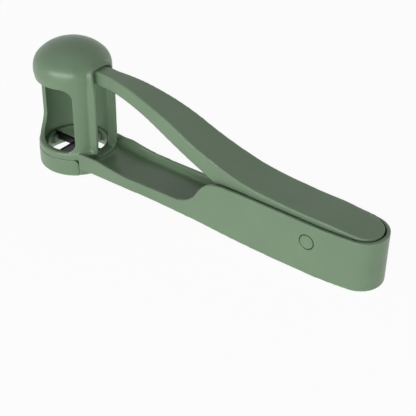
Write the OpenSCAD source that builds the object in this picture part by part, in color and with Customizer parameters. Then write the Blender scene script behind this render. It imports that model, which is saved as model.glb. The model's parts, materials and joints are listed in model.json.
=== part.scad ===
// Hand-held snack cutter: a lever presses small fruit down through crossed blades.
// X runs from the round cage back along the grip, Z is up, the tool stands on its underside.

/* [Base ring and cage] */
// Outer radius of the base ring
ring_r = 20; // [19:0.5:24]
// Height of the base ring's top edge
ring_top = 13.2; // [12.5:0.1:16]
// Rounding of the base ring's top edge
ring_round = 1.2; // [0.5:0.1:1.3]
// Step in from the base ring to the cage wall
cage_step = 0.6; // [0.4:0.1:1]
// Wall of the cage and the hood
cage_wall = 2.5; // [1.8:0.1:2.8]
// Top edge of the loading window
window_top = 48.7; // [40:0.1:49]
// Rear edge of the loading window, measured back from the cage axis
window_back = 12.3; // [6:0.1:13]
// Distance from the middle plane to the window's front edge
front_post = 5; // [0.8:0.1:6]
// Rounding of the window's rear corners
window_round = 5; // [1:0.5:8]
// Rounding where the window's sill meets the front post
sill_round = 12; // [2:0.5:14]

/* [Hood] */
// Reach of the hood past the cage wall, where it is widest
hood_over = 0.6; // [0.3:0.1:2]
// Height of the hood's widest level
hood_mid = 53.3; // [51:0.1:60]
// Rise of the hood above its widest level
hood_rise = 14.5; // [12:0.1:18]
// Radius of the hood's shoulder
hood_shoulder = 10.5; // [8:0.1:11.5]
// Radius that blends the shoulder into the cage below it
hood_blend = 10; // [4:0.5:20]
// Width of the slot for the lever
slot_w = 12.2; // [9.4:0.1:13]
// Clear gap over the lever at the top of the slot
slot_gap = 0.3; // [0.3:0.1:2]
// Radius of the beads down both sides of the slot
bead_r = 1.25; // [0.8:0.05:1.6]
// How far the beads stand out of the hood where they end
bead_over = 1.6; // [1:0.1:2]
// Level of the slot's sill
slot_sill = 10.3; // [10.2:0.1:12]

/* [Grip] */
// Width of the grip
grip_w = 26.9; // [26:0.1:30]
// Width that the grip's neck flares to at the base ring
neck_w = 28.9; // [27:0.1:31]
// Side wall of the grip
grip_wall = 1.75; // [1.4:0.05:2.2]
// Floor of the grip
grip_floor = 2.2; // [1.5:0.1:3]
// Distance from the cage axis to the centre of the grip's round end
grip_end_x = 170; // [166:1:190]
// Radius of the grip's round end
grip_end_r = 12.1; // [11.5:0.1:13.4]
// Height that the underside arches up at the neck
arch_h = 4.2; // [3:0.1:4.6]
// Where the underside arch is highest
arch_x = 45; // [40:1:60]
// Height of the side walls along the neck
neck_h = 10.5; // [9:0.1:12]
// Where the neck's walls stop falling away from the base ring
neck_x = 50; // [42:1:60]
// Radius of that fall
neck_fall_r = 110; // [80:5:140]
// Where the side walls start to rise to the rim
rise_x = 75; // [65:1:80]
// Where the side walls reach the rim
rim_x = 102; // [96:1:110]
// Height of the rim where the walls reach it
rim_front = 27; // [25.5:0.1:28]
// Height of the rim at the rear end
rim_rear = 25.3; // [24:0.1:26]

/* [Lever] */
// Angle that the lever swings through when it is squeezed
squeeze = 16; // [14:0.5:16]
// Top of the lever where it enters the hood
lever_front_top = 57.5; // [55:0.1:58]
// Top of the lever over the grip
lever_rear_top = 28; // [27:0.1:28.5]
// Where the lever starts to curve down
lever_bend_x = 20; // [18:1:26]
// Where the lever's curve ends over the grip, ahead of or over the pin
lever_flat_x = 150; // [140:1:156]
// Share of the curve that is bowed, before it turns hollow
lever_bow = 0.44; // [0.4:0.01:0.5]
// Depth of the lever's front bar
bar_depth = 7.4; // [6.5:0.1:7.8]
// Width of the lever's front bar
bar_w = 8.4; // [7:0.1:8.6]
// Radius that bends the bar's underside
bar_bend_r = 100; // [90:1:110]
// Slope of the lever's underside, in degrees
bar_slope = 23.5; // [22:0.1:25]
// Where the lever's outline reaches its full width
lever_wide_x = 125; // [120:1:135]
// Radius that swells the lever's outline
lever_swell_r = 660; // [600:10:760]
// Lower edge of the lever inside the grip
skirt_z = 19.5; // [19:0.1:21]
// Top plate of the lever
lever_plate = 2.4; // [1.8:0.1:3]
// Side wall of the lever
lever_wall = 2; // [1.5:0.1:2.5]
// Where the lever's hollow starts
core_x = 34; // [30:1:40]
// Where the first of the lever's cross ribs stands
rib_x = 48; // [44:1:56]
// Thickness of the lever's cross ribs
rib_t = 1.4; // [1:0.1:2]
// Spacing of the lever's cross ribs
rib_step = 13; // [10:0.5:18]

/* [Press head] */
// Gap between the press head and the carrier's bore
press_gap = 3.6; // [3.2:0.1:5.6]
// Depth of the press head's plate
press_plate = 2.8; // [2.4:0.1:3.4]
// Level of the press head's face when the lever is squeezed home
press_home = 9.4; // [9.2:0.1:12]
// Rounding of the press head's edge
press_round = 1.3; // [0.5:0.1:1.8]
// Width of the slits that straddle the blades
slit_w = 2.2; // [1.6:0.1:3]
// Depth of those slits
slit_d = 1.8; // [1.5:0.1:2]
// Thickness of the cheeks that hold the lever's tongue
cheek_t = 2.6; // [2:0.1:3]
// Radius of the cross pin through tongue and cheeks
press_pin_r = 1.25; // [1:0.05:1.4]
// Distance of the cross pin behind the press head's axis
press_pin_x = 5.5; // [4.5:0.1:6]
// Height of the cross pin over the press head's plate
press_pin_h = 2.2; // [2:0.1:2.6]
// Wall of tongue and cheeks round the cross pin
cheek_wall = 1.25; // [1:0.05:1.5]

/* [Cutter] */
// Height of the carrier's visible band
band_h = 9.2; // [8:0.1:9.3]
// Thickness of the band
band_t = 1.95; // [1.5:0.05:2]
// Half angle at the grip that the band leaves open
band_gap = 47; // [44:0.5:50]
// Rounding of the band's upper corners, where it ends beside the grip
band_round = 3; // [1:0.5:4]
// Bevel of the carrier's lower edge
band_edge = 0.6; // [0.3:0.1:1]
// Level of the floor of the carrier's groove
groove_z = 5; // [4.8:0.1:5.6]
// Height of the carrier's foot inside the body's root
foot_h = 2.4; // [2:0.1:2.6]
// Width of the carrier's groove
groove_w = 1.15; // [1:0.05:1.5]
// Sleeve of the carrier
sleeve_t = 1.3; // [1:0.05:1.35]
// Level of the sleeve's lower end, below which the outlet flares
flare_h = 4; // [3:0.1:4.5]
// How far the outlet flares
flare_out = 2; // [1:0.1:2.4]
// Thickness of the blades
blade_t = 0.6; // [0.4:0.05:0.8]
// Lower edge of the blades
blade_low = 5.9; // [5.5:0.1:6.5]
// Cutting edge of the blades
blade_top = 10.6; // [10.4:0.1:10.8]
// Height of the ground bevel
blade_bevel = 1; // [0.5:0.1:1.5]
// Width of the lugs that hold the blades' ends
lug_w = 6; // [4:0.5:8]
// Reach of the lugs inside the sleeve
lug_in = 1.3; // [0.8:0.1:1.8]

/* [Hinge] */
// Distance of the hinge pin behind the cage axis
hinge_x = 149.7; // [146:0.1:152]
// Height of the hinge pin
hinge_z = 17.1; // [16.5:0.1:18]
// Radius of the hinge pin
pin_r = 2; // [1.6:0.1:2.2]
// Radius of the pin caps
cap_r = 3.7; // [3.4:0.05:4.2]
// Thickness of the pin caps
cap_t = 1.5; // [1:0.1:1.7]
// Radius of the grip's bosses round the pin
boss_r = 5.5; // [5.2:0.1:6]
// Reach of those bosses into the grip
boss_in = 2.2; // [1.8:0.1:2.6]
// Radius of the lever's ears round the pin
ear_r = 4.8; // [4.2:0.1:5]
// Thickness of the lever's ears
ear_t = 2.5; // [2:0.1:3]

/* [Spring] */
// Radius of the spring's wire
wire_r = 0.55; // [0.4:0.05:0.6]
// Radius of the spring's coil, at the middle of the wire
coil_r = 4.2; // [3.6:0.1:4.6]
// Turns of the coil, apart from the part turn between its legs
coil_turns = 4; // [3:1:5]
// Distance from turn to turn
coil_pitch = 1.7; // [1.7:0.1:2]
// Reach of the leg that stands on the grip's floor, ahead of the pin
low_leg = 20; // [16:0.5:24]
// Reach of the leg that lifts the lever, ahead of the pin
high_leg = 11.2; // [9:0.1:13]
// Lower face of the lever's pad over the spring
pad_z = 24.2; // [23.8:0.1:24.4]
// Length of that pad
pad_len = 12; // [8:0.5:14]
// Width of that pad
pad_w = 10; // [9:0.1:12]

/* [Fits] */
// Seam between the lever and the grip, all round
lever_gap = 0.35; // [0.3:0.05:0.6]
// Seam between mouldings that are fixed to each other
seam = 0.15; // [0.15:0.05:0.3]
// Running clearance of a pin, on the radius
pin_play = 0.05; // [0.02:0.01:0.1]
// Gap between the faces of ears and bosses, and at the lever's stop
side_play = 0.3; // [0.2:0.05:0.5]
// Gap round the blades in their slots
blade_play = 0.05; // [0.02:0.01:0.1]

/* [Hidden] */
$fn = 96;
arc_steps = 24;
eps = 0.01;
far_off = 400;
green = "#6f8a6b";
steel = "silver";

half_w = grip_w / 2;
neck_half = neck_w / 2;
trough_half = half_w - grip_wall;
grip_len = grip_end_x + grip_end_r;
middle_x = (grip_len - ring_r) / 2;
taper_x = hinge_x;
cage_r = ring_r - cage_step;
hood_r = cage_r + hood_over;
chamber_r = cage_r - cage_wall;
lever_half = trough_half - lever_gap;
lever_end_r = grip_end_r - grip_wall - lever_gap;
slot_top = lever_front_top + slot_gap;
bar_low = lever_front_top - bar_depth;
band_in = ring_r - band_t;
sleeve_r = band_in - groove_w;
carrier_r = sleeve_r - sleeve_t;
press_r = carrier_r - press_gap;
seam_z = band_h + seam;
collar_low = groove_z + seam;
sleeve_top = slot_sill - seam;
body_gap = band_gap - atan(seam / band_in);
pin_end = half_w - cap_t - side_play;
ear_out = trough_half - boss_in - side_play;
tongue_low = press_home + press_plate + seam;
press_pin_z = press_home + press_plate + press_pin_h;
cheek_half = press_pin_r + cheek_wall;

// Rectangle between two corners
module span(x0, y0, x1, y1) {
    translate([x0, y0]) square([x1 - x0, y1 - y0]);
}

// Extrudes an X-Z outline sideways, from one Y to another
module sideways(y0, y1) {
    translate([0, y1, 0]) rotate([90, 0, 0]) linear_extrude(y1 - y0) children();
}

// Cylinder along Y
module bar_y(r, y0, y1, x = hinge_x, z = hinge_z) {
    translate([x, y0, z]) rotate([-90, 0, 0]) cylinder(r = r, h = y1 - y0);
}

// Everything within a half angle of the grip's direction
module rear_sector(half_angle, z0, z1) {
    reach = 60;
    translate([0, 0, z0]) linear_extrude(z1 - z0)
        polygon([[0, 0], reach * [cos(half_angle), -sin(half_angle)], [reach, 0],
                 reach * [cos(half_angle), sin(half_angle)]]);
}

// Points along an arc from one angle to another
function arc(middle, r, a0, a1, steps = arc_steps) =
    [for (i = [0:steps]) let (a = a0 + (a1 - a0) * i / steps) middle + r * [cos(a), sin(a)]];

// Points along an S-curve of two tangent arcs that leaves p and reaches q level
function ogee(p, q, share = 0.5) =
    let (run = q.x - p.x, turn = 2 * atan((q.y - p.y) / run), r = run / sin(turn),
         leaning = function (i) let (a = turn * i / arc_steps) r * [sin(a), 1 - cos(a)])
    concat([for (i = [0:arc_steps]) p + share * leaning(i)],
           [for (i = [arc_steps - 1:-1:0]) q - (1 - share) * leaning(i)]);

// Points along one side of an end that narrows from one half width to a round tip
function round_end(x0, half0, x1, tip_r) =
    let (r = ((x1 - x0) ^ 2 + half0 ^ 2 - tip_r ^ 2) / (2 * (half0 - tip_r)),
         lean = atan2(r - half0, x1 - x0))
    concat(arc([x0, half0 - r], r, 90, lean), arc([x1, 0], tip_r, lean - lean / arc_steps, 0));

// Outline that has the same points on both sides of the X axis, and ends on it
function both_sides(half) =
    concat(half, [for (i = [len(half) - 2:-1:0]) [half[i].x, -half[i].y]]);

// Grip seen from above, drawn in by an inset
module grip_plan(inset = 0) {
    polygon(both_sides(concat([[ring_r / 2, neck_half - inset], [rim_x, half_w - inset]],
                              round_end(taper_x, half_w - inset, grip_end_x, grip_end_r - inset))));
}

// Underside of the grip, raised by a thickness
module grip_ground(lift) {
    polygon(concat([[0, -far_off], [0, arch_h + lift]],
                   ogee([arch_x, arch_h + lift], [taper_x, lift]),
                   [[grip_len + 1, lift], [grip_len + 1, -far_off]]));
}

// Side view of the grip's walls
module grip_side() {
    fall = acos(1 - (ring_top - neck_h) / neck_fall_r);
    difference() {
        polygon(concat([[0, 0], [0, ring_top]],
                       arc([neck_x, neck_h + neck_fall_r], neck_fall_r, 270 - fall, 270),
                       ogee([rise_x, neck_h], [rim_x, rim_front]),
                       [[grip_len, rim_rear], [grip_len, 0]]));
        grip_ground(0);
    }
}

module grip_outer() {
    intersection() {
        sideways(-neck_half, neck_half) grip_side();
        linear_extrude(far_off) grip_plan();
    }
}

// Hollow of the grip, which starts behind the base ring
module trough() {
    difference() {
        intersection() {
            sideways(-neck_half, neck_half) difference() {
                span(0, 0, grip_len, far_off);
                grip_ground(grip_floor);
            }
            linear_extrude(far_off) grip_plan(grip_wall);
        }
        cylinder(r = ring_r + bead_r, h = far_off);
    }
}

// Half section of the hood, drawn in by an inset
module hood_section(inset = 0) {
    side = hood_r - hood_shoulder;
    crown_r = (hood_r ^ 2 + hood_rise ^ 2 - 2 * hood_r * hood_shoulder)
              / (2 * (hood_rise - hood_shoulder));
    crown_z = hood_mid + hood_rise - crown_r;
    lean = atan2(side, hood_mid - crown_z);
    intersection() {
        span(0, 0, far_off, far_off);
        union() {
            translate([side, hood_mid]) circle(hood_shoulder - inset);
            polygon([[0, crown_z], [side, hood_mid], [side, hood_mid - hood_shoulder + inset],
                     [0, hood_mid - hood_shoulder + inset]]);
            intersection() {
                translate([0, crown_z]) circle(crown_r - inset, $fn = 192);
                polygon([[0, crown_z], [0, far_off],
                         [(far_off - crown_z) * tan(lean), far_off]]);
            }
        }
    }
}

// Ring above the carrier, and the collar that enters the carrier's groove
module ring_section() {
    span(chamber_r, seam_z, ring_r, ring_top - ring_round);
    span(chamber_r, seam_z, ring_r - ring_round, ring_top);
    translate([ring_r - ring_round, ring_top - ring_round]) circle(ring_round);
    span(sleeve_r + seam, collar_low, band_in - seam, seam_z + eps);
}

// Hollow curve that leads from the hood's shoulder into the cage
module hood_blend_section() {
    shoulder = [hood_r - hood_shoulder, hood_mid];
    middle_off = cage_r + hood_blend - shoulder.x;
    middle = [cage_r + hood_blend,
              hood_mid - sqrt((hood_shoulder + hood_blend) ^ 2 - middle_off ^ 2)];
    difference() {
        polygon([[shoulder.x, middle.y], middle, shoulder]);
        translate(middle) circle(hood_blend, $fn = 192);
    }
}

module cage_outer() {
    rotate_extrude() union() {
        hood_section();
        hood_blend_section();
        ring_section();
        span(chamber_r, ring_top - eps, cage_r, hood_mid);
    }
}

// Beads and cheeks along both sides of the lever's slot, which melt into the hood
module slot_frame() {
    bead_y = slot_w / 2 + bead_r - seam;
    straight = hood_mid - bead_r;
    for (s = [-1, 1]) {
        translate([ring_r, s * bead_y, collar_low]) cylinder(r = bead_r, h = straight - collar_low);
        translate([0, s * bead_y - bead_r, collar_low]) cube([ring_r, 2 * bead_r, straight - collar_low]);
        intersection() {
            translate([ring_r, s * bead_y, straight]) cylinder(r = bead_r, h = hood_rise);
            rotate_extrude() hood_section(-bead_over);
        }
    }
}

// What the band's rounded upper corners leave free, less a seam
module band_corners(gap) {
    over = 1;
    for (s = [-1, 1]) scale([1, s, 1]) rotate(band_gap)
        rotate([90, 0, 90]) linear_extrude(ring_r + over) difference() {
            span(-gap - over, band_h - band_round, band_round, band_h + gap + over);
            translate([band_round, band_h - band_round]) circle(band_round + gap - eps);
        }
}

// Rear part of the ring that fills the band's opening
module ring_root() {
    inside = sleeve_r + seam;
    intersection() {
        rotate_extrude() polygon([[inside, 0], [ring_r - band_edge, 0], [ring_r, band_edge],
                                  [ring_r, ring_top - ring_round], [inside, ring_top - ring_round]]);
        union() {
            rear_sector(body_gap, -1, ring_top);
            band_corners(seam);
        }
    }
}

// Space of the carrier's band and its seam
module band_space() {
    difference() {
        rotate_extrude() polygon([[0, -1], [ring_r + 1, -1], [ring_r + 1, seam_z],
                                  [band_in - seam, seam_z], [band_in - seam, collar_low],
                                  [0, collar_low]]);
        rear_sector(body_gap, -2, far_off);
        band_corners(seam);
    }
}

module chamber() {
    translate([0, 0, sleeve_top + seam]) cylinder(r = chamber_r, h = hood_mid - sleeve_top);
    rotate_extrude() hood_section(cage_wall);
}

// Space that the carrier takes up, with its seam
module carrier_seat() {
    translate([0, 0, -1]) cylinder(r = sleeve_r + seam, h = 1 + sleeve_top + seam);
    translate([0, 0, -1]) cylinder(r = band_in + seam, h = 1 + foot_h + seam);
    band_space();
}

module window_cut() {
    low = ring_top;
    intersection() {
        sideways(-far_off, 0) {
            span(-far_off, low, window_back - window_round, window_top);
            span(-far_off, low + window_round, window_back, window_top - window_round);
            for (z = [low, window_top - 2 * window_round])
                translate([window_back - window_round, z + window_round]) circle(window_round);
        }
        rotate([90, 0, 90]) linear_extrude(far_off, center = true) {
            span(-far_off, low + sill_round, -front_post, far_off);
            span(-far_off, low, -front_post - sill_round, low + sill_round + eps);
            translate([-front_post - sill_round, low + sill_round]) circle(sill_round, $fn = 192);
        }
    }
}

module slot_cut() {
    translate([0, -slot_w / 2, slot_sill])
        cube([ring_r + 2 * bead_r, slot_w, slot_top - slot_sill]);
}

// Moulding of grip, base ring, cage and hood
module body() {
    color(green) difference() {
        union() {
            difference() {
                union() {
                    grip_outer();
                    cage_outer();
                    ring_root();
                    slot_frame();
                }
                trough();
            }
            for (s = [-1, 1]) scale([1, s, 1])
                bar_y(boss_r, trough_half - boss_in, trough_half + eps);
            stop_rib();
        }
        chamber();
        carrier_seat();
        window_cut();
        slot_cut();
        bar_y(pin_r + pin_play / 2, -half_w, half_w);
        for (s = [-1, 1]) scale([1, s, 1]) bar_y(cap_r + seam, half_w - cap_t, half_w + 1);
    }
}

// Rib on the grip's floor that stops the lever's tail
module stop_rib() {
    rib_half = lever_end_r - lever_wall;
    translate([grip_end_x, -rib_half, grip_floor - eps])
        cube([rib_t, 2 * rib_half, skirt_z - side_play - grip_floor + eps]);
}

// Turns what is drawn with the lever squeezed home into the rest pose
module released() {
    translate([hinge_x, 0, hinge_z]) rotate([0, squeeze, 0]) translate([-hinge_x, 0, -hinge_z])
        children();
}

// Lever seen from above, drawn in by an inset
module lever_plan(inset = 0) {
    bar_half = bar_w / 2 - inset;
    swell_r = lever_swell_r - inset;
    swell_mid = [lever_wide_x, lever_half - lever_swell_r];
    swell = acos((bar_half - swell_mid.y) / swell_r);
    polygon(both_sides(concat([[-ring_r, bar_half]], arc(swell_mid, swell_r, 90 + swell, 90),
                              round_end(taper_x, lever_half - inset, grip_end_x, lever_end_r - inset))));
}

// Everything under the lever's top curve, lowered by a drop
module under_lever_top(drop = 0) {
    front = lever_front_top - drop;
    rear = lever_rear_top - drop;
    polygon(concat([[-ring_r, 0], [-ring_r, front]],
                   ogee([lever_bend_x, front], [lever_flat_x, rear], lever_bow),
                   [[grip_len, rear], [grip_len, 0]]));
}

// Everything under the lever's lower edge
module under_lever_edge() {
    bend = arc([lever_bend_x, bar_low - bar_bend_r], bar_bend_r, 90, 90 - bar_slope);
    low = bend[arc_steps];
    meet_x = low.x + (low.y - skirt_z) / tan(bar_slope);
    polygon(concat([[-ring_r, -1], [-ring_r, bar_low]], bend,
                   [[meet_x, skirt_z], [grip_len, skirt_z], [grip_len, -1]]));
}

module lever_form() {
    intersection() {
        sideways(-half_w, half_w) difference() {
            under_lever_top();
            under_lever_edge();
        }
        linear_extrude(far_off) lever_plan();
    }
}

// Hollow under the lever's top plate
module lever_core() {
    intersection() {
        sideways(-half_w, half_w) intersection() {
            under_lever_top(lever_plate);
            span(core_x, 0, grip_len, far_off);
        }
        linear_extrude(far_off) lever_plan(lever_wall);
    }
}

// Cross ribs that stiffen the lever's hollow
module lever_ribs() {
    rib_setback = 1;
    intersection() {
        translate([0, 0, rib_setback]) lever_form();
        for (x = [rib_x:rib_step:pad_front() - rib_t])
            translate([x, -half_w, 0]) cube([rib_t, grip_w, far_off]);
        linear_extrude(far_off) lever_plan(lever_wall / 2);
        sideways(-half_w, half_w) under_lever_top(lever_plate / 2);
    }
}

// Ears round the hinge pin, hung from the top plate, with a pad for the spring
module lever_ears() {
    plate_low = lever_rear_top - lever_plate / 2;
    for (s = [-1, 1]) scale([1, s, 1]) {
        bar_y(ear_r, ear_out - ear_t, ear_out);
        translate([hinge_x - ear_r, ear_out - ear_t, hinge_z])
            cube([2 * ear_r, ear_t, plate_low - hinge_z]);
    }
    translate([pad_front(), -pad_w / 2, pad_z]) cube([pad_len, pad_w, plate_low - pad_z]);
}

function pad_front() = hinge_x - high_leg - pad_len / 2;

// Tongue that lies level in the press head once the lever is home
module tongue_cut() {
    released() translate([-far_off / 2, -far_off / 2, tongue_low - far_off])
        cube([far_off / 2 + lever_bend_x, far_off, far_off]);
    released() translate([press_pin_x - cheek_half - far_off, -far_off / 2, 0])
        cube(far_off);
    released() bar_y(press_pin_r + pin_play, -half_w, half_w, press_pin_x, press_pin_z);
}

// Upper grip, with the bar that reaches into the hood
module lever() {
    color(green) difference() {
        union() {
            difference() {
                lever_form();
                lever_core();
            }
            lever_ribs();
            lever_ears();
        }
        bar_y(pin_r + pin_play, -half_w, half_w);
        for (s = [-1, 1]) scale([1, s, 1])
            bar_y(boss_r + side_play, ear_out + eps, half_w);
        tongue_cut();
    }
}

// Pusher under the hood, slit so that it passes the blades
module press_head() {
    cheek_in = bar_w / 2 + seam;
    color(green) released() difference() {
        union() {
            translate([0, 0, press_home]) rotate_extrude() {
                span(0, 0, press_r - press_round, press_plate);
                span(0, press_round, press_r, press_plate);
                intersection() {
                    translate([press_r - press_round, press_round]) circle(press_round);
                    span(0, 0, press_r, press_plate);
                }
            }
            for (s = [-1, 1]) scale([1, s, 1]) {
                bar_y(cheek_half, cheek_in, cheek_in + cheek_t, press_pin_x, press_pin_z);
                translate([press_pin_x - cheek_half, cheek_in, press_home + eps])
                    cube([2 * cheek_half, cheek_t, press_plate + press_pin_h - eps]);
            }
        }
        for (a = [0, 90]) rotate(a) translate([-press_r, -slit_w / 2, press_home - eps])
            cube([2 * press_r, slit_w, slit_d]);
        bar_y(press_pin_r + pin_play / 2, -half_w, half_w, press_pin_x, press_pin_z);
    }
}

// Cross pin that holds the press head on the lever's tongue
module press_pin() {
    reach = bar_w / 2 + seam + cheek_t;
    color(steel) released() bar_y(press_pin_r, -reach, reach, press_pin_x, press_pin_z);
}

// Full section of the carrier: band, groove for the collar, and sleeve
module carrier_section() {
    polygon([[carrier_r + flare_out, 0], [ring_r - band_edge, 0], [ring_r, band_edge], [ring_r, band_h],
             [band_in, band_h], [band_in, groove_z], [sleeve_r, groove_z],
             [sleeve_r, sleeve_top], [carrier_r, sleeve_top], [carrier_r, flare_h]]);
}

// Removable carrier that holds the blades under the base ring
module cutter_ring() {
    lug_low = flare_h;
    lug_top = blade_low + (blade_top - blade_low) / 2;
    color(green) difference() {
        union() {
            rotate_extrude() carrier_section();
            intersection() {
                difference() {
                    translate([0, 0, lug_low]) cylinder(r = carrier_r + eps, h = lug_top - lug_low);
                    translate([0, 0, -1]) cylinder(r = carrier_r - lug_in, h = far_off);
                }
                for (a = [0, 90]) rotate(a)
                    translate([-ring_r, -lug_w / 2, 0]) cube([2 * ring_r, lug_w, far_off]);
            }
        }
        difference() {
            union() {
                rear_sector(band_gap, -1, ring_top);
                band_corners(0);
            }
            translate([0, 0, foot_h]) cylinder(r = sleeve_r, h = far_off);
            translate([0, 0, -2]) cylinder(r = band_in, h = 2 + foot_h);
        }
        for (a = [0, 90]) rotate(a)
            translate([-blade_reach() - blade_play, -blade_t / 2 - blade_play, blade_low - blade_play])
                cube([2 * blade_reach() + 2 * blade_play, blade_t + 2 * blade_play, far_off]);
    }
}

function blade_reach() = carrier_r + sleeve_t / 2;

// Blade along X with a ground top edge, notched at its middle to cross the other
module blade(notch_low, notch_high) {
    half_t = blade_t / 2;
    depth = blade_top - blade_low;
    difference() {
        translate([-blade_reach(), 0, blade_low]) rotate([90, 0, 90]) linear_extrude(2 * blade_reach())
            polygon([[-half_t, 0], [half_t, 0], [half_t, depth - blade_bevel], [0, depth],
                     [-half_t, depth - blade_bevel]]);
        translate([-half_t - blade_play, -1, notch_low])
            cube([blade_t + 2 * blade_play, 2, notch_high - notch_low]);
    }
}

function blade_mid() = (blade_low + blade_top) / 2;

module long_blade() {
    color(steel) blade(blade_mid() - blade_play, far_off);
}

module cross_blade() {
    color(steel) rotate(90) blade(-1, blade_mid() + blade_play);
}

module hinge_pin() {
    color(steel) bar_y(pin_r, -pin_end, pin_end);
}

// Flush cap over one end of the hinge pin, on the side that s gives
module pin_cap(s) {
    color(green) scale([1, s, 1]) bar_y(cap_r, half_w - cap_t, half_w);
}

// Height of the grip's underside at a place behind the middle of its arch
function underside_z(x) =
    let (r = (taper_x - arch_x) / sin(2 * atan(arch_h / (taper_x - arch_x))) / 2)
    r - sqrt(r ^ 2 - (taper_x - x) ^ 2);

// Slope of a leg that touches the coil and ends at a reach ahead of the pin, dz off its level
function leg_slope(reach, dz) = atan(dz / reach) - asin(coil_r / norm([reach, dz]));

// Path of the spring's wire: the leg on the floor, the coil, the leg under the lever
function spring_path() =
    let (low_x = hinge_x - low_leg, high_x = hinge_x - high_leg,
         low_z = underside_z(low_x) + grip_floor + wire_r + side_play,
         high_z = pad_z - wire_r - side_play / 2,
         a0 = leg_slope(low_leg, hinge_z - low_z) - 90,
         a1 = 90 - leg_slope(high_leg, high_z - hinge_z) + 360 * coil_turns,
         steps = ceil((a1 - a0) / 45), width = coil_pitch * (a1 - a0) / 360,
         on_coil = function (a) [hinge_x + coil_r * cos(a),
                                 width * ((a - a0) / (a1 - a0) - 0.5),
                                 hinge_z + coil_r * sin(a)])
    concat([[low_x, -width / 2, low_z]],
           [for (i = [0:steps]) on_coil(a0 + (a1 - a0) * i / steps)],
           [[high_x, width / 2, high_z]]);

// Ring of points round a path point, square to the path
function wire_ring(path, i, sides) =
    let (before = path[max(i - 1, 0)], after = path[min(i + 1, len(path) - 1)],
         t = (after - before) / norm(after - before),
         u0 = cross(t, [0, 1, 0]), u = u0 / norm(u0), v = cross(t, u))
    [for (k = [0:sides - 1]) path[i] + wire_r * (cos(360 * k / sides) * u + sin(360 * k / sides) * v)];

// Least clear gap between one turn of a path and the next
function turn_gap(path, per_turn) =
    min([for (i = [0:len(path) - 1], j = [i + floor(per_turn * 0.6):1:len(path) - 1])
         norm(path[i] - path[j])]) - 2 * wire_r;

// Torsion spring that lifts the lever again
module return_spring() {
    sides = 6;
    path = spring_path();
    n = len(path);
    echo(spring_turn_gap = turn_gap(path, 8));
    points = [for (i = [0:n - 1]) each wire_ring(path, i, sides)];
    skin = [for (i = [0:n - 2], k = [0:sides - 1])
            let (a = i * sides + k, b = i * sides + (k + 1) % sides)
            each [[a, b + sides, b], [a, a + sides, b + sides]]];
    last = (n - 1) * sides;
    ends = [for (k = [1:sides - 2]) each [[0, k, k + 1], [last, last + k + 1, last + k]]];
    color(steel) polyhedron(points, concat(skin, ends));
}

// Puts the tool's middle over the origin
module placed() {
    translate([-middle_x, 0, 0]) children();
}

placed() body();
placed() lever();
placed() press_head();
placed() press_pin();
placed() cutter_ring();
placed() long_blade();
placed() cross_blade();
placed() hinge_pin();
placed() pin_cap(-1);  // near_pin_cap
placed() pin_cap(1);  // far_pin_cap
placed() return_spring();
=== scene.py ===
"""Looks of a hand-held snack cutter: soft-edged green mouldings, steel blades, pins and a spring."""

import json
import math

import bpy
from mathutils import Matrix, Vector


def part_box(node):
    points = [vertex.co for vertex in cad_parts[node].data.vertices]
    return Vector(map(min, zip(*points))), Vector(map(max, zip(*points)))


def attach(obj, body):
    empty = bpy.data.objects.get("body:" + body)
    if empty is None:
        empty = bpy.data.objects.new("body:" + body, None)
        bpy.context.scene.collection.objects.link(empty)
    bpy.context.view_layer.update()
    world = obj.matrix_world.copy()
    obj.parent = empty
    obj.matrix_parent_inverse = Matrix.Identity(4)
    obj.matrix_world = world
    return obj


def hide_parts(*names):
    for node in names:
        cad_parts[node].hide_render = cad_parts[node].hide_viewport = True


MM = 0.001

# Camera, fitted to the photograph's 416 x 416 frame
PHOTO_SIDE = 416
FOCAL_PIXELS = 1005
SENSOR_MM = 36
CAMERA_PLACE = Vector((246.35, -330.4, 278.6)) * MM
CAMERA_AZIMUTH = math.radians(36.17)
CAMERA_ELEVATION = math.radians(34.06)
CAMERA_ROLL = math.radians(0.83)
CAMERA_NEAREST = 10 * MM

# Skins of the mouldings: spacing of the mesh, and passes that round its edges
BODY_SKIN = (0.35 * MM, 1)
LEVER_SKIN = (0.35 * MM, 18)
RING_SKIN = (0.25 * MM, 1)
HEAD_SKIN = (0.3 * MM, 8)
SAME_POINT = 0.001 * MM
PASS_STRENGTH = 0.5
SKIN_TRIANGLES = 180_000

# Step along the tool for finding tops and floors, where places along it start at the cage's axis
STEP_LENGTH = 1 * MM

# Carrier's seam, which stays crisp, and the lower edge of the grip behind it
SEAM_TOP = 10 * MM
SEAM_BACK = 18 * MM
SOFT_PASSES = 3
UNDER_STRETCH = (SEAM_BACK, 2 * SEAM_BACK)
UNDER_DEPTH = 1.5 * MM
UNDER_PASSES = 15

# Beads down both sides of the lever's slot, and their feet on the ring
BEAD_LINE = Vector((18.2, 7.2)) * MM
BEAD_LOW = 12 * MM
BEAD_HIGH = 56 * MM
BEAD_REACH = 4 * MM
BEAD_PASSES = 25
FOOT_PLACE = Vector((22, 8.5, 11.5)) * MM
FOOT_REACH = 8 * MM
FOOT_PASSES = 60

# Bead that frames the slot: its legs stand off the cage, and its rounded top melts into the hood
ARCH_HALF = 7.2 * MM
ARCH_FOOT = 11 * MM
ARCH_TURN = 55.2 * MM
ARCH_CORNER = 3.4 * MM
ARCH_R = 1.25 * MM
ARCH_STEPS = 8
ARCH_STAND = 1.4 * MM
ARCH_MELTED = 0.3 * MM
ARCH_MELT = (44 * MM, 59 * MM)

# Outline of the hood under that bead: a core with a round shoulder
HOOD_CORE = 9.5 * MM
HOOD_SHOULDER = 10.5 * MM
HOOD_MID = 53.3 * MM

# Top of that bead, which is rounded into the hood
ARCH_LOW = 50 * MM
ARCH_HIGH = 63 * MM
ARCH_BACK = 13 * MM
ARCH_SIDE = 2 * ARCH_HALF
ARCH_PASSES = 20

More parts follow.
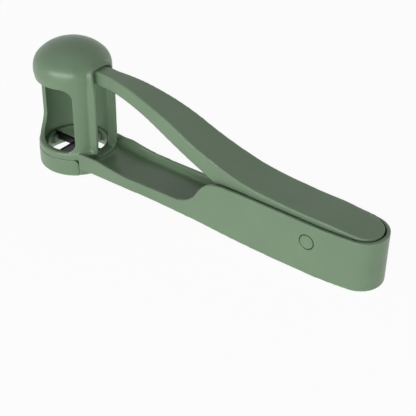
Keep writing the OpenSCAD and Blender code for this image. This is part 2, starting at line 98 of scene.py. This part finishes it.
# Shoulder of the hood, which is a little squarer away from the slot
DOME_HEIGHTS = (54 * MM, 60 * MM)
DOME_RADII = (5 * MM, 14 * MM)
DOME_SLOT = (10 * MM, 14 * MM)
DOME_RISE = 0.3 * MM

# Hollow neck of the grip: its walls run into its floor in a wide curve, and its floor rises to the cage
NECK_START = 19.5 * MM
NECK_LEVEL = 24 * MM
NECK_END = 100 * MM
NECK_INSIDE = 12.9 * MM
NECK_MIDDLE = 5 * MM
NECK_ROOF = 15 * MM
NECK_BELOW = 0.8 * MM
NECK_ABOVE = 5 * MM
NECK_PASSES = 70
FILL_END = 42 * MM
FILL_BAND = (1.8 * MM, 0.8 * MM)
FILL_RISE = 2 * MM

# Rim of the grip, which stands a little fuller where the lever lies in it
RIM_HEIGHTS = (21 * MM, 24 * MM)
RIM_START = 96 * MM
RIM_RUN = 16 * MM
RIM_RISE = 0.6 * MM

# Top of the lever: depth of its rounding, its fuller and its lower stretches, the gap to the rim
TOP_DEPTH = 3.5 * MM
TOP_PASSES = 40
HOLLOW_STRETCH = (40 * MM, 55 * MM, 80 * MM, 95 * MM)
HOLLOW_DROP = 0.4 * MM
FULL_STRETCH = (112 * MM, 134 * MM, 158 * MM, 176 * MM)
FULL_RISE = 1.2 * MM
END_STRETCH = (140 * MM, 180 * MM)
END_DROP = 1.3 * MM
ROUND_END = 170 * MM
SIDE_SKIN = 0.6 * MM
SIDE_GAP = 0.4 * MM

# Carrier, which fills its seat in the body
CARRIER_SWELL = 0.18 * MM

# Pins and caps
PIN_SIDES = 48
PIN_CHAMFER = 0.4 * MM
PIN_CHAMFER_STEPS = 2
PIN_CREASE = math.radians(30)
CAP_SIDES = 96
CAP_EDGE = 0.35 * MM
CAP_EDGE_STEPS = 4
CAP_CREASE = math.radians(40)
CAP_GROOVE = 0.3 * MM

# Spring wire
WIRE_R = 0.55 * MM
WIRE_ROUNDNESS = 4
COIL_R = 4.2 * MM
COIL_TURNS = 4
COIL_STEPS = 24
HIGH_LEG = 11.2 * MM

# Colours, as linear values
SAGE = (0.184, 0.278, 0.172, 1)
SAGE_DEEP = (0.168, 0.255, 0.158, 1)
STEEL = (0.50, 0.50, 0.52, 1)
# Blade steel is near black, far darker than bare steel: painted shade of the dark chamber inside the ring
SHADED_BLADE_STEEL = (0.055, 0.05, 0.055, 1)
WIRE_STEEL = (0.42, 0.42, 0.43, 1)
PALE_GREY = (0.8, 0.8, 0.8, 1)
WHITE = (1, 1, 1, 1)

# Finish of the green plastic, where a noise is its scale and detail, and mostly stays within its span
NOISE_SPAN = (0.3, 0.7)
CLOUD_NOISE = (45, 3)
GLOSS_NOISE = (160, 4)
GLOSS_ROUGHNESS = (0.32, 0.4)
GLOSS_SPECULAR = 0.36
GRAIN_NOISE = (2600, 2)
GRAIN_DEPTH = 0.02 * MM
GRAIN_STRENGTH = 0.35

# Finish of the steel: fine marks, which are drawn out along the blades
MARK_NOISE = (4000, 3)
MARK_DEPTH = 0.005 * MM
MARK_STRENGTH = 0.2
MARKS_ALONG = (0.05, 1, 1)
MARKS_ACROSS = (1, 0.05, 1)
MARKS_EVEN = (1, 1, 1)
BLADE_ROUGHNESS = (0.27, 0.35)
PIN_ROUGHNESS = (0.29, 0.37)
WIRE_ROUGHNESS = (0.27, 0.35)

# Sky: how strongly it lights the tool at the horizon and above, and where that upper part starts
SKY_HORIZON = 0.28
SKY_TOP = 0.3
SKY_TOP_START = 0.6

# Lamps, in metres and watts: a key on the near side, a glint in the same place, and a far one behind
KEY_PLACE = Vector((0.15, -1.0, 0.18))
KEY_SIZE = (1.4, 0.14)
KEY_POWER = 6
GLINT_POWER = 8
FAR_PLACE = Vector((0.0, 1.0, 0.1))
FAR_SIZE = (3, 0.2)
FAR_POWER = 2

# Floor, in metres: its glow is what is seen of it, and its light reaches the tool's sides from below
FLOOR_SIDE = 6
FLOOR_DROP = 0.3 * MM
FLOOR_ROUGHNESS = 0.9
FLOOR_GLOW = 0.85
FLOOR_LIGHT = 0.5

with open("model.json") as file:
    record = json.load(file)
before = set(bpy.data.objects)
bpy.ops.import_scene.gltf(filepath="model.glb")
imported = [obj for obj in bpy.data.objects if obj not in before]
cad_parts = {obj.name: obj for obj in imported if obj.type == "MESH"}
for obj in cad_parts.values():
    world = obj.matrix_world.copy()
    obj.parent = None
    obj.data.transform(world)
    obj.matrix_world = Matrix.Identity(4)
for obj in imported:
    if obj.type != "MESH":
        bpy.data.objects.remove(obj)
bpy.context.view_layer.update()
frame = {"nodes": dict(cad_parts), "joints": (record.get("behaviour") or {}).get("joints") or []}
hinge = Vector(frame["joints"][0]["pos_m"])
cage_x = sum(corner.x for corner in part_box("long_blade")) / 2


def pick(piece):
    """Makes a piece the only one selected."""
    bpy.ops.object.select_all(action="DESELECT")
    piece.select_set(True)
    bpy.context.view_layer.objects.active = piece


def add_modifier(piece, name, kind, **settings):
    """Adds a modifier and applies it at once."""
    pick(piece)
    modifier = piece.modifiers.new(name, kind)
    for key, value in settings.items():
        setattr(modifier, key, value)
    bpy.ops.object.modifier_apply(modifier=modifier.name)


def settle(piece, body, node, material):
    """Gives a piece its finish, and lets it ride on a body in place of its CAD node."""
    pick(piece)
    bpy.ops.object.transform_apply(location=True, rotation=True, scale=True)
    piece.data.materials.clear()
    piece.data.materials.append(material)
    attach(piece, body)
    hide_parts(node)


def round_wire(name, points, radius):
    """Round rod along a line of points."""
    line = bpy.data.curves.new(name, "CURVE")
    line.dimensions = "3D"
    line.bevel_depth = radius
    line.bevel_resolution = WIRE_ROUNDNESS
    line.use_fill_caps = True
    spline = line.splines.new("POLY")
    spline.points.add(len(points) - 1)
    for spot, point in zip(spline.points, points):
        spot.co = (*point, 1)
    wire = bpy.data.objects.new(name, line)
    bpy.context.scene.collection.objects.link(wire)
    pick(wire)
    bpy.ops.object.convert(target="MESH")
    return wire


def skin_of(node, name, skin, added=None):
    """Copies a node into a new piece with an even mesh and rounded edges, and melts an added form in."""
    spacing, passes = skin
    piece = bpy.data.objects.new(name, frame["nodes"][node].data.copy())
    bpy.context.scene.collection.objects.link(piece)
    pick(piece)
    bpy.ops.object.mode_set(mode="EDIT")
    bpy.ops.mesh.select_all(action="SELECT")
    bpy.ops.mesh.remove_doubles(threshold=SAME_POINT)
    bpy.ops.object.mode_set(mode="OBJECT")
    if added:
        added.select_set(True)
        bpy.ops.object.join()
    add_modifier(piece, "even_mesh", "REMESH", mode="VOXEL", voxel_size=spacing)
    add_modifier(piece, "soft_edges", "SMOOTH", factor=PASS_STRENGTH, iterations=passes)
    return piece


def thin_out(piece):
    """Thins a skin down to the triangles that a piece may have, mostly on its flat faces."""
    triangles = 2 * len(piece.data.polygons)
    if triangles > SKIN_TRIANGLES:
        add_modifier(piece, "thin", "DECIMATE", ratio=SKIN_TRIANGLES / triangles)
    pick(piece)
    bpy.ops.object.shade_smooth()
    return piece


def ramp(value, low, high):
    """Share of the way from low to high, kept within 0 and 1."""
    return min(1, max(0, (value - low) / (high - low)))


def ease(value, low, high):
    """Like ramp, with soft ends."""
    share = ramp(value, low, high)
    return share * share * (3 - 2 * share)


def weigh(piece, name, rule):
    """Vertex group whose weights follow a rule on the place of each vertex."""
    group = piece.vertex_groups.new(name=name)
    for vertex in piece.data.vertices:
        weight = rule(vertex.co)
        if weight > 0:
            group.add([vertex.index], weight, "REPLACE")
    return name


def soften(piece, name, rule, passes):
    """Rounds the edges of a piece where a rule says so."""
    add_modifier(piece, name, "SMOOTH", factor=PASS_STRENGTH, iterations=passes,
                 vertex_group=weigh(piece, name, rule))


def push(piece, name, rule, distance, direction="Z"):
    """Moves the places of a piece that a rule picks, up or along their normals."""
    add_modifier(piece, name, "DISPLACE", direction=direction, mid_level=0, strength=distance,
                 vertex_group=weigh(piece, name, rule))


def along(place):
    """How far along the tool a place lies, from the cage's axis."""
    return place.x - cage_x


def off_axis(place):
    """How far a place lies from the cage's axis, to any side."""
    return math.hypot(along(place), place.y)


def step_at(x):
    """Number of the step along the tool in which x lies."""
    return round(x / STEP_LENGTH)


def off_seam(place):
    """Everywhere but along the seam of the carrier."""
    return 0 if place.z < SEAM_TOP and along(place) < SEAM_BACK else 1


def lower_edge(place):
    """Lower edge of the grip."""
    return ramp(place.z, UNDER_DEPTH, 0) * ramp(along(place), *UNDER_STRETCH)


def slot_bead(place):
    """Beads down both sides of the lever's slot."""
    aside = math.hypot(along(place) - BEAD_LINE.x, abs(place.y) - BEAD_LINE.y)
    above = max(0, place.z - BEAD_HIGH, BEAD_LOW - place.z)
    return ramp(math.hypot(aside, above), BEAD_REACH, BEAD_REACH / 2)


def bead_foot(place):
    """Feet of the beads, which spread out on the ring."""
    from_foot = Vector((along(place), abs(place.y), place.z)) - FOOT_PLACE
    return ramp(from_foot.length, FOOT_REACH, FOOT_REACH / 2)


def slot_arch(place):
    """Where the bead runs over the lever and melts into the hood."""
    if along(place) < ARCH_BACK or abs(place.y) > ARCH_SIDE:
        return 0
    return ramp(place.z, ARCH_LOW, ARCH_TURN) * ramp(place.z, ARCH_HIGH, ARCH_HIGH - ARCH_CORNER)


def dome_shoulder(place):
    """Shoulder of the hood, less at the slot."""
    inner, outer = DOME_SLOT
    at_slot = ease(along(place), inner, outer) * ease(abs(place.y), outer, inner)
    return ease(place.z, *DOME_HEIGHTS) * ease(off_axis(place), *DOME_RADII) * (1 - at_slot)


def grip_rim(place):
    """Rim of the grip round the lever."""
    return ramp(along(place), RIM_START, RIM_START + RIM_RUN) * ramp(place.z, *RIM_HEIGHTS)


def over_floor(piece):
    """Gives the height of a place over the neck's floor, which is level up to the cage."""
    floors = {}
    for vertex in piece.data.vertices:
        if abs(vertex.co.y) < NECK_MIDDLE and vertex.co.z < NECK_ROOF:
            step = step_at(vertex.co.x)
            floors[step] = max(floors.get(step, 0), vertex.co.z)
    first = step_at(cage_x + NECK_LEVEL)

    def height(place):
        return place.z - floors[max(first, step_at(place.x))]

    return height


def in_neck(place):
    """True inside the neck's walls, off the cage's foot."""
    return off_axis(place) > NECK_START and 0 < along(place) < NECK_END and abs(place.y) < NECK_INSIDE


def floor_fill(piece):
    """Rule for the end of the neck's floor, which rises to the cage."""
    height = over_floor(piece)

    def rule(place):
        if not in_neck(place):
            return 0
        return ramp(off_axis(place), FILL_END, NECK_START) ** 2 * ramp(abs(height(place)), *FILL_BAND)

    return rule


def neck_fillet(piece):
    """Rule for the corners between the neck's walls and its floor."""
    height = over_floor(piece)

    def rule(place):
        return 1 if in_neck(place) and -NECK_BELOW < height(place) < NECK_ABOVE else 0

    return rule


def arch_bead():
    """Bead over the lever's slot: two legs that stand on the cage, joined across the hood."""
    half = [(ARCH_HALF, ARCH_FOOT)]
    for i in range(ARCH_STEPS):
        half.append((ARCH_HALF, ARCH_MELT[0] + (ARCH_TURN - ARCH_MELT[0]) * i / ARCH_STEPS))
    for i in range(ARCH_STEPS + 1):
        angle = math.pi / 2 * i / ARCH_STEPS
        y = ARCH_HALF + ARCH_CORNER * (math.cos(angle) - 1)
        half.append((y, ARCH_TURN + ARCH_CORNER * math.sin(angle)))
    points = []
    for y, z in half + [(-y, z) for y, z in reversed(half)]:
        hood_r = HOOD_CORE + math.sqrt(HOOD_SHOULDER ** 2 - max(0, z - HOOD_MID) ** 2)
        out = ARCH_STAND + (ARCH_MELTED - ARCH_STAND) * ease(z, *ARCH_MELT)
        points.append(Vector((cage_x + math.sqrt(hood_r ** 2 - y ** 2) + out, y, z)))
    return round_wire("arch_bead", points, ARCH_R)


def shape_body(piece):
    """Rounds the body's edges, each as wide as it looks, and fills out its shoulder, neck and rim."""
    soften(piece, "soft_edges_off_seam", off_seam, SOFT_PASSES)
    soften(piece, "lower_edge", lower_edge, UNDER_PASSES)
    soften(piece, "beads", slot_bead, BEAD_PASSES)
    soften(piece, "bead_feet", bead_foot, FOOT_PASSES)
    soften(piece, "arch", slot_arch, ARCH_PASSES)
    push(piece, "square_shoulder", dome_shoulder, DOME_RISE, "NORMAL")
    push(piece, "floor_fill", floor_fill(piece), FILL_RISE)
    soften(piece, "neck_fillet", neck_fillet(piece), NECK_PASSES)
    push(piece, "full_rim", grip_rim, RIM_RISE)
    return piece


def shape_lever(piece):
    """Rounds the lever's upper edges, evens its top, and opens the gap to the grip's rim."""
    tops, halves = {}, {}
    for vertex in piece.data.vertices:
        step = step_at(vertex.co.x)
        tops[step] = max(tops.get(step, 0), vertex.co.z)
        halves[step] = max(halves.get(step, 0), abs(vertex.co.y))
    end_r = max(along(vertex.co) for vertex in piece.data.vertices) - ROUND_END

    def near_top(place):
        return ramp(tops[step_at(place.x)] - place.z, TOP_DEPTH, 0)

    def top_between(start, full, fall, stop):
        def rule(place):
            share = ramp(along(place), start, full) * ramp(along(place), stop, fall)
            return share * near_top(place)

        return rule

    def end_top(place):
        return ramp(along(place), *END_STRETCH) ** 2 * near_top(place)

    def side(place):
        past = along(place) - ROUND_END
        if past > 0:
            inside = end_r - math.hypot(past, place.y)
        else:
            inside = halves[step_at(place.x)] - abs(place.y)
        in_grip = ramp(along(place), RIM_START - RIM_RUN, RIM_START)
        return in_grip * ramp(inside, SIDE_SKIN, SIDE_SKIN / 2) * ramp(place.z, *RIM_HEIGHTS)

    push(piece, "side_gap", side, -SIDE_GAP, "NORMAL")
    push(piece, "hollow_top", top_between(*HOLLOW_STRETCH), -HOLLOW_DROP)
    push(piece, "full_top", top_between(*FULL_STRETCH), FULL_RISE)
    push(piece, "end_top", end_top, -END_DROP)
    soften(piece, "round_top", near_top, TOP_PASSES)
    return piece


def shape_carrier(piece):
    """Swells the carrier until its seams with the body are thin lines."""
    add_modifier(piece, "swell", "DISPLACE", mid_level=0, strength=CARRIER_SWELL)
    return piece


def node_material(name):
    """New material, with its node tree and its main shader."""
    material = bpy.data.materials.new(name)
    material.use_nodes = True
    tree = material.node_tree
    return material, tree, tree.nodes["Principled BSDF"]


def noise(tree, scale, detail, stretch=MARKS_EVEN):
    """Noise on the piece's own coordinates, with cells of about one over the scale."""
    place = tree.nodes.new("ShaderNodeTexCoord")
    turn = tree.nodes.new("ShaderNodeMapping")
    turn.inputs["Scale"].default_value = stretch
    texture = tree.nodes.new("ShaderNodeTexNoise")
    texture.inputs["Scale"].default_value = scale
    texture.inputs["Detail"].default_value = detail
    tree.links.new(place.outputs["Object"], turn.inputs["Vector"])
    tree.links.new(turn.outputs["Vector"], texture.inputs["Vector"])
    return texture.outputs["Fac"]


def spread(tree, value, low, high):
    """Maps the span of a noise to a range."""
    span_low, span_high = NOISE_SPAN
    ranged = tree.nodes.new("ShaderNodeMapRange")
    ranged.inputs["From Min"].default_value = span_low
    ranged.inputs["From Max"].default_value = span_high
    ranged.inputs["To Min"].default_value = low
    ranged.inputs["To Max"].default_value = high
    tree.links.new(value, ranged.inputs["Value"])
    return ranged.outputs["Result"]


def bump(tree, value, depth, strength):
    """Bump of a given depth from a noise value."""
    relief = tree.nodes.new("ShaderNodeBump")
    relief.inputs["Strength"].default_value = strength
    relief.inputs["Distance"].default_value = depth
    tree.links.new(value, relief.inputs["Height"])
    return relief.outputs["Normal"]


def green_moulding():
    """Satin moulded plastic: faint clouding of the colour, a fine grain and an uneven gloss."""
    material, tree, shader = node_material("green_moulding")
    tint = tree.nodes.new("ShaderNodeMix")
    tint.data_type = "RGBA"
    tint.inputs["A"].default_value = SAGE_DEEP
    tint.inputs["B"].default_value = SAGE
    clouds = spread(tree, noise(tree, *CLOUD_NOISE), 0, 1)
    tree.links.new(clouds, tint.inputs["Factor"])
    tree.links.new(tint.outputs["Result"], shader.inputs["Base Color"])
    shader.inputs["Specular IOR Level"].default_value = GLOSS_SPECULAR
    gloss = spread(tree, noise(tree, *GLOSS_NOISE), *GLOSS_ROUGHNESS)
    tree.links.new(gloss, shader.inputs["Roughness"])
    grain = bump(tree, noise(tree, *GRAIN_NOISE), GRAIN_DEPTH, GRAIN_STRENGTH)
    tree.links.new(grain, shader.inputs["Normal"])
    return material


def drawn_steel(name, colour, stretch, roughness):
    """Steel with fine marks along the direction in which it was worked."""
    material, tree, shader = node_material(name)
    shader.inputs["Base Color"].default_value = colour
    shader.inputs["Metallic"].default_value = 1
    marks = noise(tree, *MARK_NOISE, stretch)
    tree.links.new(spread(tree, marks, *roughness), shader.inputs["Roughness"])
    tree.links.new(bump(tree, marks, MARK_DEPTH, MARK_STRENGTH), shader.inputs["Normal"])
    return material


def round_stock(node, name, sides, groove=0):
    """Cylinder along Y in the place of a node, less a groove round it."""
    low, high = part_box(node)
    bpy.ops.object.select_all(action="DESELECT")
    bpy.ops.mesh.primitive_cylinder_add(vertices=sides, radius=(high.x - low.x) / 2 - groove,
                                        depth=high.y - low.y, location=(low + high) / 2,
                                        rotation=(math.pi / 2, 0, 0))
    stock = bpy.context.object
    stock.name = name
    return stock


def turned_pin(node, name):
    """Pin with chamfered ends."""
    pin = round_stock(node, name, PIN_SIDES)
    add_modifier(pin, "chamfer", "BEVEL", width=PIN_CHAMFER, segments=PIN_CHAMFER_STEPS,
                 limit_method="ANGLE")
    bpy.ops.object.shade_smooth_by_angle(angle=PIN_CREASE)
    return pin


def flush_cap(node, name):
    """Round cap whose face is flush with the grip, with a soft edge and a fine groove round it."""
    cap = round_stock(node, name, CAP_SIDES, CAP_GROOVE)
    add_modifier(cap, "soft_edge", "BEVEL", width=CAP_EDGE, segments=CAP_EDGE_STEPS,
                 limit_method="ANGLE")
    bpy.ops.object.shade_smooth_by_angle(angle=CAP_CREASE)
    return cap


def spring_points():
    """Points along the wire: the leg on the grip's floor, the coil, the leg under the lever."""
    low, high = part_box("return_spring")
    half = (high.y - low.y) / 2 - WIRE_R
    low_end = Vector((low.x + WIRE_R / 2, -half, low.z + WIRE_R))
    high_end = Vector((hinge.x - HIGH_LEG, half, high.z - WIRE_R))

    def slope(end):
        reach = hinge.x - end.x
        rise = abs(end.z - hinge.z)
        return math.atan2(rise, reach) - math.asin(COIL_R / math.hypot(reach, rise))

    start = slope(low_end) - math.pi / 2
    stop = math.pi / 2 - slope(high_end) + 2 * math.pi * COIL_TURNS
    count = COIL_STEPS * (COIL_TURNS + 1)
    points = [low_end]
    for i in range(count + 1):
        angle = start + (stop - start) * i / count
        across = half * (2 * i / count - 1)
        points.append(hinge + Vector((COIL_R * math.cos(angle), across, COIL_R * math.sin(angle))))
    points.append(high_end)
    return points


def wound_spring():
    """Torsion spring of round wire."""
    spring = round_wire("spring_wire", spring_points(), WIRE_R)
    bpy.ops.object.shade_smooth()
    return spring


def seen_rays(tree):
    """One for the rays that show the background: straight, mirrored or passed through."""
    path = tree.nodes.new("ShaderNodeLightPath")
    total = path.outputs["Is Camera Ray"]
    for kind in ("Is Glossy Ray", "Is Transmission Ray"):
        add = tree.nodes.new("ShaderNodeMath")
        add.operation = "MAXIMUM"
        tree.links.new(total, add.inputs[0])
        tree.links.new(path.outputs[kind], add.inputs[1])
        total = add.outputs["Value"]
    return total


def white_stage():
    """Pale floor that reads white to the camera, keeps a faint shadow and lights the sides from below."""
    bpy.ops.object.select_all(action="DESELECT")
    bpy.ops.mesh.primitive_plane_add(size=FLOOR_SIDE, location=(0, 0, -FLOOR_DROP))
    floor = bpy.context.object
    floor.name = "floor"
    material, tree, shader = node_material("pale_floor")
    shader.inputs["Base Color"].default_value = PALE_GREY
    shader.inputs["Roughness"].default_value = FLOOR_ROUGHNESS
    shader.inputs["Specular IOR Level"].default_value = 0
    shader.inputs["Emission Color"].default_value = WHITE
    shader.inputs["Emission Strength"].default_value = FLOOR_LIGHT
    glow = tree.nodes.new("ShaderNodeEmission")
    share = tree.nodes.new("ShaderNodeMath")
    share.operation = "MULTIPLY"
    share.inputs[1].default_value = FLOOR_GLOW
    blend = tree.nodes.new("ShaderNodeMixShader")
    tree.links.new(seen_rays(tree), share.inputs[0])
    tree.links.new(share.outputs["Value"], blend.inputs["Fac"])
    tree.links.new(shader.outputs["BSDF"], blend.inputs[1])
    tree.links.new(glow.outputs["Emission"], blend.inputs[2])
    tree.links.new(blend.outputs["Shader"], tree.nodes["Material Output"].inputs["Surface"])
    floor.data.materials.append(material)


def white_sky():
    """World that is white to the camera and lights the object dimly, a little more from above."""
    world = bpy.data.worlds.new("studio")
    bpy.context.scene.world = world
    world.use_nodes = True
    tree = world.node_tree
    place = tree.nodes.new("ShaderNodeTexCoord")
    split = tree.nodes.new("ShaderNodeSeparateXYZ")
    light = tree.nodes.new("ShaderNodeMapRange")
    light.inputs["From Max"].default_value = SKY_TOP_START
    light.inputs["To Min"].default_value = SKY_HORIZON
    light.inputs["To Max"].default_value = SKY_TOP
    level = tree.nodes.new("ShaderNodeMapRange")
    level.inputs["To Max"].default_value = 1
    tree.links.new(place.outputs["Generated"], split.inputs["Vector"])
    tree.links.new(split.outputs["Z"], light.inputs["Value"])
    tree.links.new(light.outputs["Result"], level.inputs["To Min"])
    tree.links.new(seen_rays(tree), level.inputs["Value"])
    back = tree.nodes["Background"]
    back.inputs["Color"].default_value = WHITE
    tree.links.new(level.outputs["Result"], back.inputs["Strength"])


def soft_lamp(name, place, size, power, lights=True, mirrored=True):
    """Soft rectangular lamp, turned to the tool, that lights it, is mirrored in it, or both."""
    data = bpy.data.lights.new(name, "AREA")
    data.shape = "RECTANGLE"
    data.size, data.size_y = size
    data.energy = power
    lamp = bpy.data.objects.new(name, data)
    lamp.visible_diffuse = lights
    lamp.visible_glossy = mirrored
    lamp.location = place
    lamp.rotation_euler = (-place).to_track_quat("-Z", "Y").to_euler()
    bpy.context.scene.collection.objects.link(lamp)


def photo_camera():
    """Camera at the photograph's place, turned as it was."""
    azimuth, elevation, roll = CAMERA_AZIMUTH, CAMERA_ELEVATION, CAMERA_ROLL
    back = Vector((math.sin(azimuth) * math.cos(elevation),
                   -math.cos(azimuth) * math.cos(elevation), math.sin(elevation)))
    level = Vector((math.cos(azimuth), math.sin(azimuth), 0))
    rise = back.cross(level)
    right = math.cos(roll) * level + math.sin(roll) * rise
    up = math.cos(roll) * rise - math.sin(roll) * level
    turn = Matrix((right, up, back)).transposed().to_4x4()
    data = bpy.data.cameras.new("camera")
    data.sensor_width = SENSOR_MM
    data.lens = SENSOR_MM * FOCAL_PIXELS / PHOTO_SIDE
    data.clip_start = CAMERA_NEAREST
    camera = bpy.data.objects.new("camera", data)
    camera.matrix_world = Matrix.Translation(CAMERA_PLACE) @ turn
    bpy.context.scene.collection.objects.link(camera)
    bpy.context.scene.camera = camera


photo_camera()
white_stage()
white_sky()
soft_lamp("key", KEY_PLACE, KEY_SIZE, KEY_POWER)
soft_lamp("glint", KEY_PLACE, KEY_SIZE, GLINT_POWER, lights=False)
soft_lamp("far", FAR_PLACE, FAR_SIZE, FAR_POWER, mirrored=False)

green = green_moulding()
# The blades' steel colour is painted shade: near black for the dark chamber they stand in
long_steel = drawn_steel("blade_steel_long", SHADED_BLADE_STEEL, MARKS_ALONG, BLADE_ROUGHNESS)
cross_steel = drawn_steel("blade_steel_cross", SHADED_BLADE_STEEL, MARKS_ACROSS, BLADE_ROUGHNESS)
pin_steel = drawn_steel("pin_steel", STEEL, MARKS_EVEN, PIN_ROUGHNESS)
wire_steel = drawn_steel("spring_steel", WIRE_STEEL, MARKS_EVEN, WIRE_ROUGHNESS)

body_piece = thin_out(shape_body(skin_of("body", "body_moulding", BODY_SKIN, arch_bead())))
lever_piece = thin_out(shape_lever(skin_of("lever", "lever_moulding", LEVER_SKIN)))
ring_piece = thin_out(shape_carrier(skin_of("cutter_ring", "carrier_moulding", RING_SKIN)))
head_piece = thin_out(skin_of("press_head", "press_moulding", HEAD_SKIN))
settle(body_piece, "frame", "body", green)
settle(lever_piece, "lever", "lever", green)
settle(ring_piece, "frame", "cutter_ring", green)
settle(head_piece, "lever", "press_head", green)
settle(turned_pin("hinge_pin", "hinge_steel_pin"), "frame", "hinge_pin", pin_steel)
settle(turned_pin("press_pin", "press_steel_pin"), "lever", "press_pin", pin_steel)
settle(flush_cap("near_pin_cap", "near_cap"), "frame", "near_pin_cap", green)
settle(flush_cap("far_pin_cap", "far_cap"), "frame", "far_pin_cap", green)
settle(wound_spring(), "frame", "return_spring", wire_steel)
for blade, steel in (("long_blade", long_steel), ("cross_blade", cross_steel)):
    piece = frame["nodes"][blade]
    piece.data.materials.clear()
    piece.data.materials.append(steel)

scene = bpy.context.scene
scene.view_settings.view_transform = "Standard"
